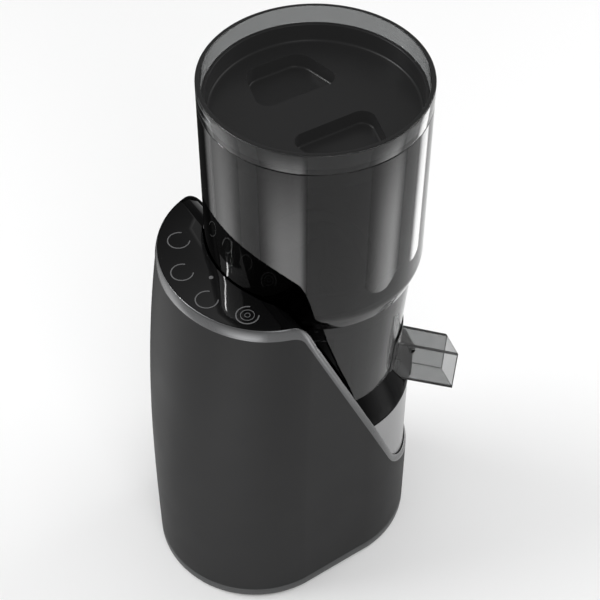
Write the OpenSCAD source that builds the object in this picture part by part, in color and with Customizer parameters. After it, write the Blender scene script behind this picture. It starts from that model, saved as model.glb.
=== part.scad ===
// Cold press juicer: a tall motor body with a slanted front notch, a smoked bowl seated in it,
// a wide smoked hopper above the bowl and a lid with two finger wells.
// The origin is the middle of the footprint at the standing surface, +Y is the pouring side, +Z is up.

/* [Body] */
// Radius of the body's round front
front_r = 79.5; // [76:0.5:83]
// Half width of the body where its rear curve starts
rear_half_w = 82.5; // [80:0.5:88]
// Distance of the rear curve's centre behind the drive axis
rear_centre = 56.5; // [50:0.5:64]
// Depth of the rear curve behind its centre
rear_bulge = 82; // [76:0.5:90]
// How far the rear wall leans in at the control panel
top_rear_inset = 20.7; // [14:0.1:26]
// How far each side leans in at the control panel
top_side_inset = 1.9; // [0:0.1:2.4]
// Height of the control panel's top face
panel_z = 323; // [316:1:332]
// Wall of the outer shell
shell_wall = 2.2; // [1.8:0.1:2.4]
// Height of the base ring
ring_h = 9; // [6:0.5:12]
// Gap between the base ring and the standing surface
foot_gap = 1.5; // [1:0.1:2.5]

/* [Notch] */
// Distance of the shoulder, where the notch starts, behind the drive axis
shoulder_back = 58.9; // [56:0.1:62]
// Slope of the notch's straight edge from the level
notch_slope = 67.1; // [65:0.1:69]
// Height of the shell's edge at the front centre
notch_low_z = 74.5; // [70:0.5:80]
// Radius of the rounded shoulder
shoulder_r = 12; // [8:0.5:16]
// Height of the bevelled bezel round the control panel
panel_band = 9.5; // [8:0.1:12]
// How far the bezel leans in round the control panel
panel_bevel = 2.2; // [1.5:0.1:3]
// Width of the bevelled bezel along the notch
notch_band = 5.4; // [5:0.1:7]
// How far the bezel's bevel reaches inwards along the notch
bevel_inset = 3.4; // [3:0.1:4.5]

/* [Seat and bowl] */
// Height of the seat's outer edge
seat_z = 168.7; // [165:0.5:172]
// Distance of the seat's outer edge inside the body's round front
seat_margin = 2.5; // [2.3:0.1:4]
// Rise of the seat's cone to the bowl
seat_rise = 24.5; // [22:0.5:27]
// Outer radius of the bowl at its foot
bowl_foot_r = 65.8; // [64:0.2:67]
// Outer radius of the bowl at its rim
bowl_rim_r = 73.6; // [72:0.2:75]
// Height of the bowl
bowl_h = 101.4; // [98:0.2:106]
// Wall of the bowl
bowl_wall = 2.8; // [2.4:0.1:3.4]

/* [Hopper and lid] */
// Outer radius of the hopper drum and of the lid's collar
drum_r = 80; // [78:0.25:81]
// Wall of the hopper drum and of the lid's collar
drum_wall = 3.5; // [3:0.1:4]
// Height of the conical neck between the bowl and the drum
neck_h = 14.4; // [12:0.2:17]
// Height of the straight drum up to its seam with the lid
drum_h = 138; // [120:1:150]
// Height of the lid's collar above the seam
collar_h = 16; // [12:0.5:22]
// Depth of the lid's floor below the seam
lid_floor_drop = 12; // [9:0.5:15]
// Depth of the two finger wells below the lid's floor
well_depth = 11; // [8:0.5:14]
// Width of the grip bar between the two wells
grip_w = 29; // [24:0.5:34]

/* [Chute and spout] */
// Turn of the pulp chute from the front, seen from above
chute_yaw = 10.4; // [8:0.2:12]
// Sideways distance of the pulp chute's middle line from the drive axis
chute_side = 32.5; // [31:0.25:34]
// Outer width of the pulp chute
chute_w = 23.4; // [22:0.2:25]
// Outer height of the pulp chute's mouth
chute_h = 41.8; // [38:0.2:44]
// Downward slope of the pulp chute
chute_slope = 33.4; // [31:0.2:35]
// Distance of the chute's mouth from the drive axis along the chute
chute_reach = 107; // [98:0.5:112]
// Wall of the chute
chute_wall = 1.8; // [1.5:0.1:2.2]
// Outer radius of the juice spout
juice_r = 11; // [10:0.25:12]
// Reach of the juice spout past the drive axis
juice_reach = 90; // [84:0.5:94]

/* [Pressing set] */
// Outer radius of the strainer at its top
strainer_top_r = 50; // [49:0.1:50.4]
// Outer radius of the strainer at its foot
strainer_foot_r = 47.5; // [46.5:0.1:48]
// Wall of the strainer
strainer_wall = 1.6; // [1.3:0.1:2]
// Number of slots round the strainer, an even number
strainer_slots = 24; // [16:2:28]
// Width of a strainer slot
slot_w = 1.6; // [1.2:0.1:2]
// Core radius of the auger at its foot
auger_foot_r = 34; // [30:0.5:38]
// Core radius of the auger at its top
auger_top_r = 13; // [11:0.5:16]
// Turns of each auger flight
flight_turns = 1.1; // [0.8:0.05:1.4]
// Thickness of an auger flight at its rim
flight_t = 3.6; // [3:0.1:5]
// Module of the wiper's gears
wiper_m = 1.5; // [1.5:0.1:1.5]
// Number of teeth on the auger's gear
sun_teeth = 16; // [16:2:16]
// Number of teeth on the idler gear
idler_teeth = 22; // [22:2:22]

/* [Drive] */
// Radius of the round drive shaft
shaft_r = 8; // [7.5:0.1:8.4]
// Outer radius of the motor's can
motor_r = 32; // [29:0.5:34]
// Length of the motor's can
motor_l = 88; // [76:1:92]
// Module of the first reduction stage
first_m = 1.25; // [1.2:0.01:1.3]
// Module of the second reduction stage
second_m = 1.75; // [1.7:0.01:1.8]

/* [Touch marks] */
// Outer radius of a ring mark
mark_r = 8.4; // [7:0.1:9]
// Line width of a ring mark
mark_line = 0.8; // [0.5:0.05:1.2]
// Angle between neighbouring ring marks on their arc
mark_step = 27.8; // [24:0.2:28.4]

/* [Hidden] */
$fn = 96;

// Clearances and the overrun of cuts
run_gap = 0.3;
bearing_gap = 0.05;
cut_over = 1;
tidy_gap = 0.2;

// Colours
matte_grey = [0.22, 0.22, 0.22];
ring_grey = [0.33, 0.33, 0.34];
gloss_black = [0.05, 0.05, 0.05];
smoke = [0.25, 0.26, 0.27, 0.45];
silver = [0.72, 0.72, 0.73];
steel = [0.62, 0.63, 0.65];
silicone_grey = [0.45, 0.46, 0.48];
mark_white = [0.85, 0.85, 0.85];

// Heights that follow from the sizes above
ring_top = foot_gap + ring_h;
bowl_z = seat_z + seat_rise;
neck_z = bowl_z + bowl_h;
drum_z = neck_z + neck_h;
seam_z = drum_z + drum_h;
rim_z = seam_z + collar_h;
rear_reach = rear_centre + rear_bulge;
edge_top_z = panel_z - panel_band;
seat_r = front_r - seat_margin;

// Distance of the drive axis in front of the footprint's middle, from the rear wall and the chute's tip
chute_tip_y = chute_reach * cos(chute_yaw) - (chute_side - chute_w / 2) * sin(chute_yaw);
drive_y = (rear_reach - chute_tip_y) / 2;
module placed() {
  translate([0, drive_y, 0]) children();
}

// Outline of the body: points from the front centre to the rear centre on the +X side
front_steps = 16;
side_steps = 8;
rear_steps = 18;
rear_spread_share = 1.5;
half_outline = concat(
  [for (k = [0 : front_steps]) let (a = 90 - 90 * k / front_steps) [front_r * cos(a), front_r * sin(a)]],
  [for (k = [1 : side_steps - 1]) let (s = k / side_steps)
    [front_r + (rear_half_w - front_r) * s, -rear_centre * s]],
  [for (k = [0 : rear_steps]) let (a = 90 * pow(k / rear_steps, rear_spread_share))
    [rear_half_w * cos(a), -rear_centre - rear_bulge * sin(a)]]
);
outline_count = len(half_outline);
outline = concat(
  half_outline,
  [for (k = [outline_count - 2 : -1 : 1]) [-half_outline[k][0], half_outline[k][1]]]
);
ring_count = len(outline);

// Lean of the walls: nothing at the foot, all of it at the panel
lean_power = 3;
function lean(z) = pow(max(0, z) / panel_z, lean_power);
function leaned(p, z) = [
  p[0] * (1 - top_side_inset / rear_half_w * lean(z)),
  p[1] < 0 ? p[1] * (1 - top_rear_inset / rear_reach * lean(z)) : p[1]
];

// Inward unit normal of the outline at point i
function unit(v) = v / norm(v);
function inward(i) = let (
  a = outline[(i + ring_count - 1) % ring_count],
  b = outline[(i + 1) % ring_count],
  t = unit(b - a)
) [t[1], -t[0]];

// Height of the shell's upper edge over the depth y
notch_foot_y = -shoulder_back + (edge_top_z - notch_low_z) / tan(notch_slope);
foot_tangent = front_r - notch_foot_y;
foot_r = foot_tangent / tan(notch_slope / 2);
shoulder_tangent = shoulder_r * tan(notch_slope / 2);
shoulder_start = -shoulder_back - shoulder_tangent;
shoulder_end = shoulder_start + shoulder_r * sin(notch_slope);
foot_start = front_r - foot_r * sin(notch_slope);
function edge_z(y) =
  y <= shoulder_start ? edge_top_z :
  y <= shoulder_end ? edge_top_z - shoulder_r + sqrt(pow(shoulder_r, 2) - pow(y - shoulder_start, 2)) :
  y <= foot_start ? edge_top_z - (y + shoulder_back) * tan(notch_slope) :
  y < front_r ? notch_low_z + foot_r - sqrt(pow(foot_r, 2) - pow(front_r - y, 2)) :
  notch_low_z;

// Share of the way over the shoulder, and of the way round to the front
function ramp(x, a, b) = let (t = min(1, max(0, (x - a) / (b - a)))) t * t * (3 - 2 * t);
function band_at(y) = panel_band + (notch_band - panel_band) * ramp(y, shoulder_start, shoulder_end);
front_inset = 2;
function inset_at(y) = y <= shoulder_end ?
  panel_bevel + (bevel_inset - panel_bevel) * ramp(y, shoulder_start, shoulder_end) :
  bevel_inset + (front_inset - bevel_inset) * ramp(y, foot_start - foot_r, 0);

// Height of the edge at each point of the leaning wall, settled in a few rounds
settle_rounds = 8;
function settled(p, z, rounds) = rounds == 0 ? z : settled(p, edge_z(leaned(p, z)[1]), rounds - 1);
edge_heights = [for (p = outline) settled(p, edge_z(p[1]), settle_rounds)];

// Points of the shell's edge line in space, and its frame: inwards and towards the opening
function edge_point(i) = let (
  z = edge_heights[i],
  q = leaned(outline[i], z)
) [q[0], q[1], z];
function edge_up(i) = let (
  a = edge_point((i + ring_count - 1) % ring_count),
  b = edge_point((i + 1) % ring_count),
  n = inward(i)
) unit(cross([n[0], n[1], 0], unit(b - a)));

// A closed band of faces between stacked rings of equal length, with its first and last ring joined
function ring_faces(rows, n) = [
  for (r = [0 : rows - 1]) for (i = [0 : n - 1])
    for (f = [
      [r * n + i, r * n + (i + 1) % n, ((r + 1) % rows) * n + i],
      [r * n + (i + 1) % n, ((r + 1) % rows) * n + (i + 1) % n, ((r + 1) % rows) * n + i]
    ]) f
];

module ring_solid(rings) {
  rows = len(rings);
  polyhedron(
    points = [for (r = rings) for (p = r) p],
    faces = ring_faces(rows, len(rings[0])),
    convexity = 8
  );
}

// Shell
wall_levels = 7;
module outer_shell() {
  color(matte_grey)
    difference() {
    ring_solid(concat(
      [for (k = [0 : wall_levels]) [
        for (i = [0 : ring_count - 1]) let (
          z = ring_top + (edge_heights[i] - ring_top) * k / wall_levels,
          q = leaned(outline[i], z)
        ) [q[0], q[1], z]
      ]],
      [for (k = [wall_levels : -1 : 0]) [
        for (i = [0 : ring_count - 1]) let (
          z = ring_top + (edge_heights[i] - ring_top) * k / wall_levels,
          q = leaned(outline[i], z) + inward(i) * shell_wall
        ) [q[0], q[1], z]
      ]]
    ));
    translate([-rear_half_w - cut_over, gland_y, gland_z])
      rotate([0, 90, 0]) cylinder(r = gland_r + tidy_gap, h = gland_r * 2);
    }
}

// Bevelled bezel along the shell's edge: shares of its inset and of its band
bezel_shares = [[0, 0], [0, 0.2], [0.14, 0.52], [0.45, 0.83], [1, 1], [1, 0]];
module shell_bezel() {
  color(ring_grey)
    ring_solid([
      for (s = bezel_shares) [
        for (i = [0 : ring_count - 1]) let (y = edge_point(i)[1], n = inward(i))
          edge_point(i) + [n[0], n[1], 0] * s[0] * inset_at(y) + edge_up(i) * s[1] * band_at(y)
      ]
    ]);
}

// Base ring, bottom cover, feet and screws
cover_t = 3;
cover_lift = 2.5;
boss_r = 5;
boss_x_share = 0.63;
boss_front_share = 0.45;
boss_rear_share = 0.7;
boss_x = rear_half_w * boss_x_share;
boss_front_y = front_r * boss_front_share;
boss_rear_y = -rear_reach * boss_rear_share;
screw_hole_r = 1.7;
screw_head_r = 3.4;
screw_head_h = 1.4;
screw_l = 12;
foot_r_size = 9;
foot_h = 2.5;
vent_count = 9;
vent_w = 3;
vent_l = 44;
vent_pitch = 7;
vent_y = -96;
boss_places = [for (y = [boss_front_y, boss_rear_y]) for (x = [-1, 1]) [x * boss_x, y]];
foot_shift = 14;
function scaled_outline(z, inset) = [
  for (p = outline) let (q = leaned(p, z))
    [q[0] * (1 - inset / rear_half_w), q[1] * (1 - inset / (q[1] < 0 ? rear_reach - top_rear_inset : front_r))]
];
module base_ring() {
  color(ring_grey)
    translate([0, 0, foot_gap])
      difference() {
        linear_extrude(height = ring_h) polygon(outline);
        translate([0, 0, -cut_over])
          linear_extrude(height = ring_h + 2 * cut_over) polygon(scaled_outline(0, shell_wall + cover_t));
      }
}
module bottom_cover() {
  color(matte_grey)
    difference() {
      union() {
        translate([0, 0, cover_lift])
          linear_extrude(height = cover_t) polygon(scaled_outline(0, shell_wall + cover_t + tidy_gap));
        for (p = boss_places)
          translate([p[0], p[1], cover_lift + cover_t]) cylinder(r = boss_r, h = boss_r);
      }
      for (p = boss_places)
        translate([p[0], p[1], cover_lift - cut_over]) cylinder(r = screw_hole_r, h = screw_l);
      for (p = boss_places)
        translate([p[0], p[1], cover_lift - cut_over])
          cylinder(r = screw_head_r, h = screw_head_h + cut_over);
      for (k = [0 : vent_count - 1])
        translate([(k - (vent_count - 1) / 2) * vent_pitch - vent_w / 2, vent_y - vent_l / 2, cover_lift - cut_over])
          cube([vent_w, vent_l, cover_t + 2 * cut_over]);
    }
}
module rubber_feet() {
  color(gloss_black)
    for (p = boss_places)
      translate([p[0] * (1 - foot_shift / boss_x), p[1], 0]) cylinder(r = foot_r_size, h = foot_h);
}
module cover_screws() {
  color(steel)
    for (p = boss_places)
      translate([p[0], p[1], cover_lift + tidy_gap / 2]) {
        cylinder(r = screw_head_r - tidy_gap, h = screw_head_h - tidy_gap / 2);
        cylinder(r = screw_hole_r - tidy_gap, h = screw_l - 2 * cut_over);
      }
}

// Control panel: a crescent plate round the hopper, with its board below
panel_t = 4;
panel_gap = 1;
panel_end_gap = 3;
panel_front = panel_end_gap - shoulder_start;
well_r = drum_r + panel_gap;
panel_inset = panel_bevel + tidy_gap;
module crescent(inset, inner_r, h) {
  difference() {
    intersection() {
      linear_extrude(height = h) polygon(scaled_outline(edge_top_z, inset));
      translate([-rear_half_w, -rear_reach, 0]) cube([2 * rear_half_w, rear_reach - panel_front, h]);
    }
    translate([0, 0, -cut_over]) cylinder(r = inner_r, h = h + 2 * cut_over);
  }
}
module control_panel() {
  color(gloss_black)
    translate([0, 0, panel_z - panel_t]) crescent(panel_inset, well_r, panel_t);
}

// Touch marks: four open rings, printed proud of the panel, and two thin circles inside the last one
mark_proud = 0.2;
mark_side_share = 0.0267;
mark_back_share = 0.2736;
mark_radius_share = 0.8121;
lamp_radius_share = 0.6182;
mark_centre_x = rear_half_w * mark_side_share;
mark_centre_y = -rear_reach * mark_back_share;
mark_centre_angle = -85.8;
mark_radius = rear_half_w * mark_radius_share;
mark_count = 4;
mark_gap_angle = 80;
mark_gap_side = 97;
target_shares = [0.6, 0.25];
target_line = 0.4;
lamp_radius = rear_half_w * lamp_radius_share;
lamp_r = 1.5;
function mark_angle(k) = mark_centre_angle + (k - (mark_count - 1) / 2) * mark_step;
function arc_place(r, a) = [mark_centre_x + r * cos(a), mark_centre_y + r * sin(a)];
function mark_place(k) = arc_place(mark_radius, mark_angle(k));
lamp_place = arc_place(lamp_radius, mark_centre_angle);
module open_ring(r, line, h) {
  half = mark_gap_angle / 2;
  difference() {
    cylinder(r = r, h = h);
    translate([0, 0, -cut_over]) cylinder(r = r - line, h = h + 2 * cut_over);
    translate([0, 0, -cut_over])
      linear_extrude(height = h + 2 * cut_over)
        polygon([[0, 0], [2 * r * cos(half), -2 * r * sin(half)], [2 * r * cos(half), 2 * r * sin(half)]]);
  }
}
module touch_rings() {
  color(mark_white)
    translate([0, 0, panel_z])
      for (k = [0 : mark_count - 1])
        translate(mark_place(k))
          rotate([0, 0, mark_gap_side]) {
            open_ring(mark_r, mark_line, mark_proud);
            if (k == mark_count - 1)
              for (s = target_shares)
                difference() {
                  cylinder(r = mark_r * s, h = mark_proud);
                  translate([0, 0, -cut_over])
                    cylinder(r = mark_r * s - target_line, h = mark_proud + 2 * cut_over);
                }
          }
}
module status_lamp() {
  color(mark_white)
    translate([lamp_place[0], lamp_place[1], panel_z]) cylinder(r = lamp_r, h = mark_proud);
}
board_t = 1.6;
pad_h = 2.4;
pad_share = 0.58;
board_inset = 11;
pocket_rim = 1.6;
board_inner_gap = 6;
module touch_board() {
  color("darkgreen")
    translate([0, 0, panel_z - panel_t - pad_h - board_t])
      crescent(board_inset, well_r + board_inner_gap, board_t);
}
module touch_pads() {
  color(silicone_grey)
    translate([0, 0, panel_z - panel_t - pad_h])
      for (k = [0 : mark_count - 1])
        translate(mark_place(k)) cylinder(r = mark_r * pad_share, h = pad_h);
}

// Cradle: the black liner of the notch, with the concave wall behind the bowl
cradle_back = 89;
cradle_t = 5;
cradle_inset = bevel_inset + tidy_gap;
tuck_inset = shell_wall + 2 * tidy_gap;
seat_lip_h = 3.5;
liner_drop = 1;
liner_wall = 3;
liner_split_z = 230;
bore_gap = 1.4;
flare_drop = 12;
bore_low_r = bowl_rim_r + bore_gap;
bore_flare_z = neck_z - flare_drop;
pocket_drop = 12;
seat_bore_gap = 2;
seat_side_gap = 3;
seat_inner_r = shaft_r + seat_bore_gap;
seat_side_x = rear_half_w - bevel_inset - seat_side_gap;
liner_steps = 24;
liner_front_y = foot_start;
liner_ys = [for (k = [0 : liner_steps]) -cradle_back + (cradle_back + liner_front_y) * k / liner_steps];
function edge_normal(y) = let (
  t = unit([2 * cut_over, edge_z(y + cut_over) - edge_z(y - cut_over)])
) [-t[1], t[0]];
standoff_r = 3;
standoff_l = 4;
power_w = 96;
power_h = 96;
power_lift = 14;
power_z = seat_z + cradle_t + power_lift;
standoff_places = [
  for (x = [-1, 1]) for (z = [0, 1])
    [x * (power_w / 2 - standoff_r * 2), power_z + standoff_r * 2 + z * (power_h - standoff_r * 4)]
];
channel_gap = 1.2;
trough_t = 2;
module below_edge(raise, drop) {
  translate([0, 0, -drop])
    rotate([90, 0, 90])
      translate([0, 0, -rear_half_w])
        linear_extrude(height = 2 * rear_half_w)
          polygon(concat(
            [[-cradle_back, 0]],
            [for (y = liner_ys) [y, edge_z(y)] + edge_normal(y) * raise * (band_at(y) - liner_drop)],
            [[liner_front_y, 0]]
          ));
}
module liner_bore(extra) {
  rotate_extrude()
    polygon([
      [0, seat_z - cradle_t - cut_over], [bore_low_r + extra, seat_z - cradle_t - cut_over],
      [bore_low_r + extra, bore_flare_z], [well_r + extra, drum_z - cradle_t],
      [well_r + extra, panel_z + cut_over], [0, panel_z + cut_over]
    ]);
}
module liner_prism(z0, z1, inset) {
  translate([0, 0, z0]) linear_extrude(height = z1 - z0)
    polygon(scaled_outline(min(z1, edge_top_z), inset));
}
module liner() {
  difference() {
    union() {
      intersection() {
        liner_prism(seat_z - cradle_t, panel_z, cradle_inset);
        below_edge(1, 0);
      }
      intersection() {
        union() {
          liner_prism(seat_z - cradle_t, liner_split_z, tuck_inset);
          liner_prism(liner_split_z - cut_over, edge_top_z - tidy_gap, tuck_inset);
        }
        below_edge(0, tidy_gap);
      }
    }
    liner_bore(0);
    difference() {
      below_edge(1, pocket_drop);
      liner_bore(liner_wall);
    }
  }
}
module seat_cone() {
  intersection() {
    rotate_extrude()
      polygon([
        [seat_inner_r, bowl_z], [bowl_foot_r, bowl_z], [seat_r, seat_z], [seat_r, seat_z - seat_lip_h],
        [seat_r - cradle_t, seat_z - seat_lip_h], [bowl_foot_r - cradle_t, bowl_z - cradle_t],
        [seat_inner_r, bowl_z - cradle_t]
      ]);
    union() {
      translate([-seat_side_x, -front_r, 0]) cube([2 * seat_side_x, 2 * front_r, rim_z]);
      translate([-front_r, 0, 0]) cube([2 * front_r, 2 * front_r, rim_z]);
    }
  }
}
module bowl_cradle() {
  color(gloss_black)
    difference() {
      union() {
        liner();
        difference() {
          for (p = standoff_places)
            translate([p[0], -cradle_back - standoff_l, p[1]])
              rotate([-90, 0, 0]) cylinder(r = standoff_r, h = cradle_back / 2);
          liner_bore(liner_wall / 2);
        }
      }
      rotate_extrude()
        polygon([
          [0, seat_z - cradle_t - cut_over], [seat_r + tidy_gap / 2, seat_z - cradle_t - cut_over],
          [seat_r + tidy_gap / 2, seat_z], [bowl_foot_r + tidy_gap / 2, bowl_z], [0, bowl_z]
        ]);
      translate([0, 0, panel_z - pocket_drop + trough_t * 2])
        crescent(cradle_inset + pocket_rim, well_r + pocket_rim, pocket_drop);
      translate([-rear_half_w, -rear_reach, panel_z - panel_t])
        cube([2 * rear_half_w, rear_reach - panel_front + tidy_gap, panel_t + cut_over]);
      duct_prism(channel_gap, 0, 0);
    }
}

// Seat: the polished cone that carries the bowl, with the trough that leaves room for the bowl's duct
module bowl_seat() {
  color(gloss_black)
    difference() {
      union() {
        seat_cone();
        intersection() {
          duct_prism(channel_gap + trough_t, 0, -floor_t - cut_over);
          translate([0, 0, seat_z - seat_rise]) cylinder(r = bowl_foot_r, h = 2 * seat_rise);
        }
      }
      duct_prism(channel_gap, 0, 0);
    }
}

// Silver skirt below the seat, tucked behind the shell's edge
skirt_t = 1.5;
skirt_tuck = 8;
skirt_r = front_r * (1 - top_side_inset / rear_half_w * lean(seat_z)) - shell_wall - 2 * tidy_gap;
module front_skirt() {
  color(silver)
    difference() {
      translate([0, 0, notch_low_z - skirt_tuck])
        cylinder(r = skirt_r, h = seat_z - seat_lip_h - notch_low_z + skirt_tuck);
      cylinder(r = skirt_r - skirt_t, h = seat_z);
      translate([-front_r, -front_r, 0]) cube([2 * front_r, front_r, seat_z]);
      duct_prism(channel_gap, 0, 0);
    }
}

// Gears: involute teeth from a module and a tooth count
pressure = 20;
tip_share = 0.85;
root_share = 1.15;
tooth_share = 0.9;
function inv(a) = tan(a) - a * PI / 180;
function half_tooth(m, z, r, thick) = let (rb = m * z / 2 * cos(pressure))
  90 / z * thick + (inv(pressure) - inv(acos(min(1, rb / r)))) * 180 / PI;
function gear_points(m, z, thick, tip, root) = let (
  rp = m * z / 2,
  radii = [rp - root * m, rp - root * m / 3, rp + tip * m / 3, rp + tip * m]
) [
  for (k = [0 : z - 1]) let (c = k * 360 / z)
    for (s = [-1, 1]) for (j = [0 : 3]) let (
      r = radii[s < 0 ? j : 3 - j],
      a = c + s * half_tooth(m, z, max(r, rp * cos(pressure)), thick)
    ) [r * cos(a), r * sin(a)]
];
module gear(m, z, h, phase) {
  rotate([0, 0, phase])
    linear_extrude(height = h) polygon(gear_points(m, z, tooth_share, tip_share, root_share));
}
pinion_teeth = 12;
first_teeth = 60;
stage_teeth = 14;
output_teeth = 44;
first_distance = first_m * (pinion_teeth + first_teeth) / 2;
second_distance = second_m * (stage_teeth + output_teeth) / 2;
stage_y = -second_distance;
motor_y = -first_distance - second_distance;

// Gearbox: a floor tray and a cover with the shaft's tower, on the bottom cover
box_lift = 6;
box_z = cover_lift + cover_t + box_lift;
box_wall = 3;
box_floor = 4;
box_h = 46;
cover_plate = 4;
box_front_room = 6;
box_rear_room = 5;
box_front_r = second_m * output_teeth / 2 + box_front_room;
box_rear_r = first_m * first_teeth / 2 + box_rear_room;
first_gear_lift = 5;
first_gear_z = box_z + box_floor + first_gear_lift;
first_gear_h = 8;
gear_step = 3;
second_gear_z = first_gear_z + first_gear_h + gear_step;
second_gear_h = 12;
tower_r = 16;
tower_bore = 12;
tower_top = bowl_z - cradle_t - tidy_gap;
leg_r = 5;
axle_r = 4;
motor_shaft_r = 4;
motor_pad = 1;
motor_z = box_z + box_h + cover_plate + motor_pad;
module box_outline(extra) {
  hull() {
    circle(r = box_front_r + extra, $fn = 48);
    translate([0, stage_y]) circle(r = box_rear_r + extra, $fn = 48);
    translate([0, motor_y]) circle(r = box_rear_r / 2 + extra, $fn = 48);
  }
}
module gearbox_housing() {
  color(steel)
    difference() {
      union() {
        translate([0, 0, box_z]) linear_extrude(height = box_h) box_outline(0);
        for (p = [[0, box_front_r / 2], [0, stage_y], [0, motor_y]])
          translate([p[0], p[1], cover_lift + cover_t])
            cylinder(r = leg_r, h = box_z - cover_lift - cover_t + cut_over);
      }
      translate([0, 0, box_z + box_floor]) linear_extrude(height = box_h) box_outline(-box_wall);
      translate([0, 0, box_z + box_floor / 2]) cylinder(r = tower_bore, h = box_floor);
    }
}
module gearbox_cover() {
  color(steel)
    difference() {
      union() {
        translate([0, 0, box_z + box_h]) linear_extrude(height = cover_plate) box_outline(0);
        translate([0, 0, box_z + box_h]) cylinder(r = tower_r, h = tower_top - box_z - box_h);
        translate([0, motor_y, box_z + box_h + cover_plate - cut_over])
          cylinder(r = motor_r / 2, h = motor_pad + cut_over);
      }
      translate([0, 0, box_z + box_h - cut_over]) cylinder(r = tower_bore, h = rim_z);
      translate([0, stage_y, box_z + box_h - cut_over])
        cylinder(r = axle_r + tidy_gap / 4, h = cover_plate);
      translate([0, motor_y, box_z + box_h - cut_over])
        cylinder(r = motor_shaft_r * 2, h = cover_plate + motor_pad + 2 * cut_over);
    }
}

// Motor
can_wall = 2.5;
magnet_t = 3.5;
air_gap = 1;
can_end = 4;
bearing_r = 8;
bearing_h = 5;
rotor_top = 8;
stack_inset = 14;
fan_h = 8;
fan_blades = 8;
fan_blade_t = 1.4;
fan_reach = motor_r * 0.75;
module motor_can() {
  color(steel)
    translate([0, motor_y, motor_z])
      difference() {
        cylinder(r = motor_r, h = motor_l);
        translate([0, 0, can_end]) cylinder(r = motor_r - can_wall, h = motor_l - 2 * can_end);
        translate([0, 0, -cut_over]) cylinder(r = bearing_r, h = motor_l + 2 * cut_over);
      }
}
module motor_magnets() {
  color(gloss_black)
    translate([0, motor_y, motor_z + stack_inset])
      difference() {
        cylinder(r = motor_r - can_wall - tidy_gap / 4, h = motor_l - 2 * stack_inset);
        translate([0, 0, -cut_over]) cylinder(r = motor_r - can_wall - magnet_t, h = motor_l);
      }
}
module motor_bearings() {
  color("goldenrod")
    translate([0, motor_y, motor_z])
      for (z = [0, motor_l - bearing_h])
        translate([0, 0, z])
          difference() {
            cylinder(r = bearing_r - tidy_gap / 4, h = bearing_h);
            translate([0, 0, -cut_over])
              cylinder(r = motor_shaft_r + bearing_gap, h = bearing_h + 2 * cut_over);
          }
}
stack_r = motor_r - can_wall - magnet_t - air_gap;
module motor_rotor() {
  color(steel)
    translate([0, motor_y, 0]) {
      translate([0, 0, first_gear_z - cut_over])
        cylinder(r = motor_shaft_r, h = motor_z + motor_l + rotor_top - first_gear_z);
      translate([0, 0, motor_z + stack_inset]) cylinder(r = stack_r, h = motor_l - 2 * stack_inset);
    }
}
module motor_pinion() {
  color("goldenrod")
    translate([0, motor_y, first_gear_z])
      difference() {
        gear(first_m, pinion_teeth, first_gear_h + cut_over, 90);
        translate([0, 0, -cut_over]) cylinder(r = motor_shaft_r, h = first_gear_h + 3 * cut_over);
      }
}
module cooling_fan() {
  color(gloss_black)
    translate([0, motor_y, motor_z + motor_l + rotor_top - fan_h + cut_over])
      difference() {
        union() {
          cylinder(r = motor_shaft_r * 2, h = fan_h);
          for (k = [0 : fan_blades - 1])
            rotate([0, 0, k * 360 / fan_blades])
              translate([motor_shaft_r * 1.5, -fan_blade_t / 2, cut_over])
                cube([fan_reach - motor_shaft_r * 1.5, fan_blade_t, fan_h - 2 * cut_over]);
        }
        translate([0, 0, -cut_over]) cylinder(r = motor_shaft_r, h = fan_h + 2 * cut_over);
      }
}

// Reduction: a stepped gear on its fixed axle, and the output gear on the drive shaft
module stage_axle() {
  color(steel)
    translate([0, stage_y, box_z + box_floor])
      cylinder(r = axle_r, h = box_h - box_floor + cover_plate / 2);
}
module stage_gear() {
  color("goldenrod")
    translate([0, stage_y, 0])
      difference() {
        union() {
          translate([0, 0, first_gear_z]) gear(first_m, first_teeth, first_gear_h, 270 - 180 / first_teeth);
          translate([0, 0, first_gear_z + first_gear_h / 2])
            gear(second_m, stage_teeth, second_gear_z + second_gear_h - first_gear_z - first_gear_h / 2, 90);
        }
        translate([0, 0, first_gear_z - cut_over])
          cylinder(r = axle_r + bearing_gap, h = second_gear_z + second_gear_h - first_gear_z + 2 * cut_over);
      }
}
module output_gear() {
  color("goldenrod")
    difference() {
      translate([0, 0, second_gear_z])
        gear(second_m, output_teeth, second_gear_h, 270 - 180 / output_teeth);
      translate([0, 0, second_gear_z - cut_over]) cylinder(r = shaft_r, h = second_gear_h + 2 * cut_over);
    }
}
hex_l = 29;
hex_top = bowl_z + hex_l;
shaft_bottom = box_z + box_floor / 2 + tidy_gap;
module drive_shaft() {
  color(steel) {
    translate([0, 0, shaft_bottom]) cylinder(r = shaft_r, h = bowl_z + tidy_gap - shaft_bottom);
    translate([0, 0, bowl_z]) cylinder(r = shaft_r, h = hex_top - bowl_z, $fn = 6);
  }
}
module bearing_bush(h) {
  difference() {
    cylinder(r = tower_bore - tidy_gap / 4, h = h);
    translate([0, 0, -cut_over]) cylinder(r = shaft_r + bearing_gap, h = h + 2 * cut_over);
  }
}
bush_h = 6;
module shaft_bearings() {
  color("goldenrod") {
    translate([0, 0, box_z + box_floor / 2]) bearing_bush(bush_h);
    translate([0, 0, box_z + box_h]) bearing_bush(bush_h * 2);
    translate([0, 0, tower_top - bush_h * 2]) bearing_bush(bush_h * 2);
  }
}
module shaft_seal() {
  color(silicone_grey)
    translate([0, 0, bowl_z - cradle_t])
      difference() {
        cylinder(r = seat_inner_r - tidy_gap / 4, h = cradle_t);
        translate([0, 0, -cut_over]) cylinder(r = shaft_r + run_gap, h = cradle_t + 2 * cut_over);
      }
}

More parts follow.
